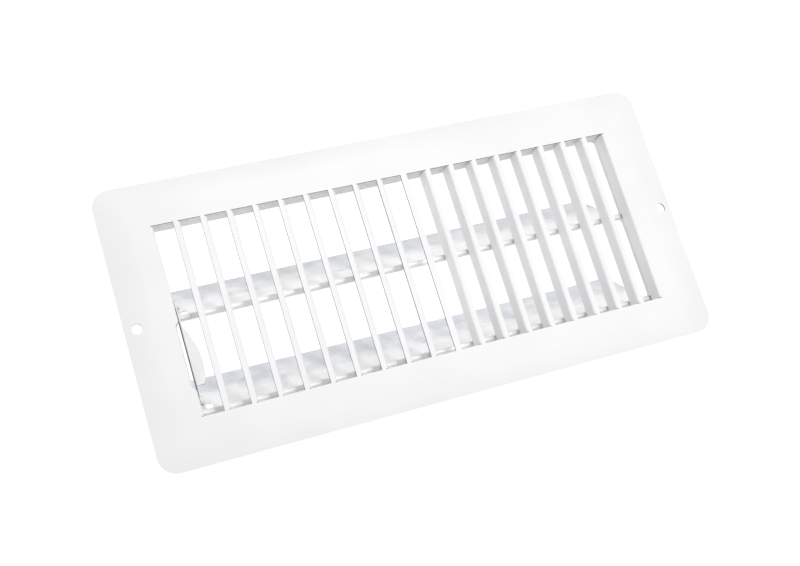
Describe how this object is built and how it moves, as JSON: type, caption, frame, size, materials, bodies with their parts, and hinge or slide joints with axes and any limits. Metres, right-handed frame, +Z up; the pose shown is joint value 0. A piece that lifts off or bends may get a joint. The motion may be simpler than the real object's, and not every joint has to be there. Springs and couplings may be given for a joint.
{
  "type": "floor register",
  "caption": "Rectangular stamped-steel floor vent: crowned white face with two-way louvre slots, drop-in collar and a linked two-blade damper worked by a finger tab.",
  "frame": {"origin": "middle of the face plate, in the plane of the floor that its rim sits on", "axes": "+X along the plate, away from the end with the finger tab; +Y across it, from the near blade to the far blade; +Z up out of the floor"},
  "size_m": [0.286, 0.1346, 0.0472],
  "materials": {
    "white_enamel": "smooth white baked enamel on steel sheet",
    "galvanised_steel": "bright zinc-coated steel sheet with a faint spangle"
  },
  "bodies": {
    "register": {"face_plate": "white_enamel", "damper_frame": "white_enamel"},
    "near_blade": {"near_blade": "galvanised_steel"},
    "far_blade": {"far_blade": "galvanised_steel"},
    "link": {"damper_link": "white_enamel", "link_rivets": "galvanised_steel"}
  },
  "joints": [
    {"name": "near_damper", "type": "hinge", "parent": "register", "child": "near_blade", "pos_m": [0, -0.04285, -0.008], "axis": [1, 0, 0], "range_deg": [0, 57]},
    {"name": "far_damper", "type": "hinge", "parent": "register", "child": "far_blade", "pos_m": [0, 0.0025, -0.008], "axis": [1, 0, 0], "range_deg": [0, 57]},
    {"name": "link_pivot", "type": "hinge", "parent": "near_blade", "child": "link", "pos_m": [-0.11708, -0.03746, -0.0045], "axis": [1, 0, 0], "range_deg": [-57, 0]}
  ],
  "couplings": [
    {"joint": "far_damper", "follows": "near_damper", "ratio": 1},
    {"joint": "link_pivot", "follows": "near_damper", "ratio": -1}
  ]
}
